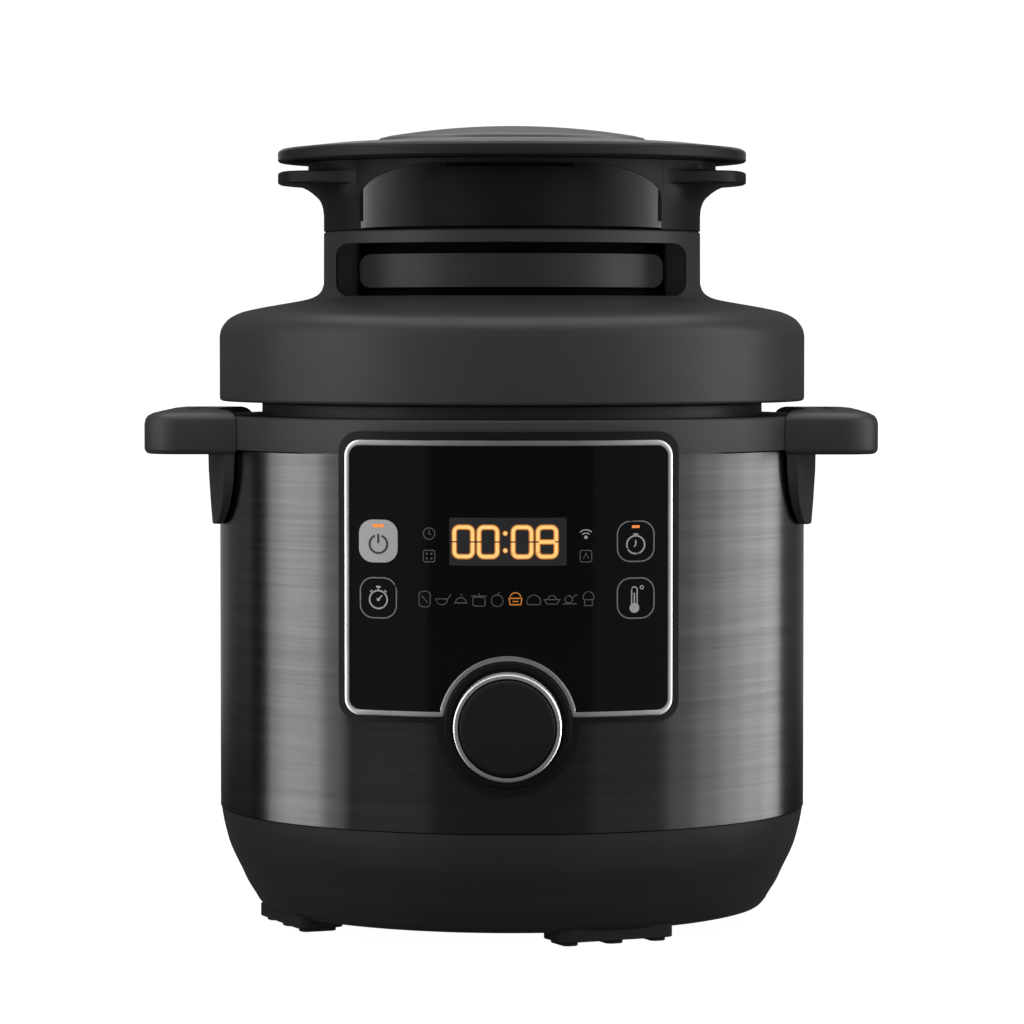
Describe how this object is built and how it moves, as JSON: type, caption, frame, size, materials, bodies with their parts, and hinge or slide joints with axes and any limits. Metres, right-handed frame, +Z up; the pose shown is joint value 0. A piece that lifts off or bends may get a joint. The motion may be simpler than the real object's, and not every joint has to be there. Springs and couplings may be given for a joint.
{
  "type": "electric pressure cooker",
  "caption": "Electric pressure cooker with a lift-out pot, a tall windowed lid turned by its top plate, a curved control panel and a front knob.",
  "frame": {"origin": "on the counter under the centre of the body", "axes": "+Z up, the control panel faces -Y, the side handles point along +X and -X"},
  "size_m": [0.358, 0.336, 0.392],
  "materials": {
    "satin_black_plastic": "fine satin",
    "black_steel": "horizontally brushed, dark",
    "bright_steel": "satin",
    "chrome": "polished",
    "gloss_lens": "polished black",
    "pale_plastic": "satin grey",
    "rubber": "matt",
    "silicone": "matt",
    "circuit_board": "matt",
    "aluminium": "cast",
    "white_plastic": "satin",
    "red_plastic": "satin",
    "coated_pot": "dark non-stick coating",
    "smoke_plastic": "smoked",
    "drum_plastic": "satin, slightly metallic",
    "key_grey": "satin",
    "screen": "display window",
    "iron_core": "wound core"
  },
  "bodies": {
    "housing": {"base_shell": "satin_black_plastic", "bottom_cover": "satin_black_plastic", "rubber_foot_1": "rubber", "rubber_foot_2": "rubber", "rubber_foot_3": "rubber", "rubber_foot_4": "rubber", "steel_shell": "black_steel", "upper_ring": "satin_black_plastic", "side_handle_right": "satin_black_plastic", "side_handle_left": "satin_black_plastic", "lock_ring": "bright_steel", "pressure_housing": "bright_steel", "heating_plate": "aluminium", "heating_element": "aluminium", "heater_support": "bright_steel", "sensor_bracket": "bright_steel", "sensor_spring": "bright_steel", "power_board": "circuit_board", "transformer": "iron_core", "thermal_fuse": "white_plastic", "mains_inlet": "satin_black_plastic", "panel_frame": "satin_black_plastic", "chrome_trim": "chrome", "panel_glass": "gloss_lens", "display_module": "screen", "control_board": "circuit_board", "encoder": "white_plastic", "ribbon_lead": "white_plastic", "collector_bracket": "satin_black_plastic"},
    "sensor": {"thermal_sensor": "aluminium"},
    "pot": {"inner_pot": "coated_pot"},
    "lid": {"lid_shell": "satin_black_plastic", "lid_neck": "satin_black_plastic", "inner_drum": "drum_plastic", "lid_inner_plate": "bright_steel", "sealing_ring": "silicone", "valve_seat": "bright_steel", "anti_block_cap": "bright_steel"},
    "lid_handle": {"hub_shaft": "bright_steel", "cam_disc": "bright_steel", "handle_frame": "satin_black_plastic", "top_cover": "satin_black_plastic", "dome_insert": "pale_plastic", "release_spring": "bright_steel"},
    "float": {"float_valve": "red_plastic"},
    "limiter": {"pressure_valve": "satin_black_plastic"},
    "release": {"release_button": "pale_plastic", "release_rod": "bright_steel"},
    "knob": {"knob_body": "satin_black_plastic", "knob_ring": "chrome"},
    "cup": {"condensation_collector": "smoke_plastic"},
    "jaw_1": {"locking_jaw_1": "bright_steel"},
    "jaw_2": {"locking_jaw_2": "bright_steel"},
    "jaw_3": {"locking_jaw_3": "bright_steel"},
    "jaw_4": {"locking_jaw_4": "bright_steel"},
    "key_power_body": {"key_power": "key_grey"},
    "key_timer_body": {"key_timer": "gloss_lens"},
    "key_clock_body": {"key_clock": "gloss_lens"},
    "key_temperature_body": {"key_temperature": "gloss_lens"}
  },
  "joints": [
    {"name": "pot_lift", "type": "slide", "parent": "housing", "child": "pot", "axis": [0, 0, 1], "range_m": [0, 0.22]},
    {"name": "lid_lift", "type": "slide", "parent": "pot", "child": "lid", "axis": [0, 0, 1], "range_m": [0, 0.25]},
    {"name": "handle_turn", "type": "hinge", "parent": "lid", "child": "lid_handle", "pos_m": [0, 0, 0.36], "axis": [0, 0, 1], "range_deg": [0, 40]},
    {"name": "jaw_1_slide", "type": "slide", "parent": "lid", "child": "jaw_1", "axis": [0.7071, 0.7071, 0], "range_m": [0, 0.0056]},
    {"name": "jaw_2_slide", "type": "slide", "parent": "lid", "child": "jaw_2", "axis": [-0.7071, 0.7071, 0], "range_m": [0, 0.0056]},
    {"name": "jaw_3_slide", "type": "slide", "parent": "lid", "child": "jaw_3", "axis": [-0.7071, -0.7071, 0], "range_m": [0, 0.0056]},
    {"name": "jaw_4_slide", "type": "slide", "parent": "lid", "child": "jaw_4", "axis": [0.7071, -0.7071, 0], "range_m": [0, 0.0056]},
    {"name": "float_rise", "type": "slide", "parent": "lid", "child": "float", "axis": [0, 0, 1], "range_m": [0, 0.004]},
    {"name": "limiter_rise", "type": "slide", "parent": "lid", "child": "limiter", "axis": [0, 0, 1], "range_m": [0, 0.003]},
    {"name": "release_press", "type": "slide", "parent": "lid_handle", "child": "release", "axis": [0, 0, -1], "range_m": [0, 0.0035], "stiffness_N_per_m": 700, "springref_m": -0.004, "deforming": ["release_spring"]},
    {"name": "knob_turn", "type": "hinge", "parent": "housing", "child": "knob", "pos_m": [0, -0.16, 0.1075], "axis": [0, -1, 0], "continuous": true},
    {"name": "key_power_press", "type": "slide", "parent": "housing", "child": "key_power_body", "axis": [0.406, 0.9139, 0], "range_m": [0, 0.001], "stiffness_N_per_m": 1500, "springref_m": -0.001},
    {"name": "key_timer_press", "type": "slide", "parent": "housing", "child": "key_timer_body", "axis": [-0.406, 0.9139, 0], "range_m": [0, 0.001], "stiffness_N_per_m": 1500, "springref_m": -0.001},
    {"name": "key_clock_press", "type": "slide", "parent": "housing", "child": "key_clock_body", "axis": [0.406, 0.9139, 0], "range_m": [0, 0.001], "stiffness_N_per_m": 1500, "springref_m": -0.001},
    {"name": "key_temperature_press", "type": "slide", "parent": "housing", "child": "key_temperature_body", "axis": [-0.406, 0.9139, 0], "range_m": [0, 0.001], "stiffness_N_per_m": 1500, "springref_m": -0.001},
    {"name": "sensor_press", "type": "slide", "parent": "housing", "child": "sensor", "axis": [0, 0, -1], "range_m": [0, 0.0025], "stiffness_N_per_m": 500, "springref_m": -0.006, "deforming": ["sensor_spring"]},
    {"name": "cup_pull", "type": "slide", "parent": "housing", "child": "cup", "axis": [0, 1, 0], "range_m": [0, 0.06]}
  ],
  "couplings": [
    {"joint": "jaw_1_slide", "follows": "handle_turn", "m_per_rad": 0.0078782},
    {"joint": "jaw_2_slide", "follows": "handle_turn", "m_per_rad": 0.0078782},
    {"joint": "jaw_3_slide", "follows": "handle_turn", "m_per_rad": 0.0078782},
    {"joint": "jaw_4_slide", "follows": "handle_turn", "m_per_rad": 0.0078782}
  ]
}
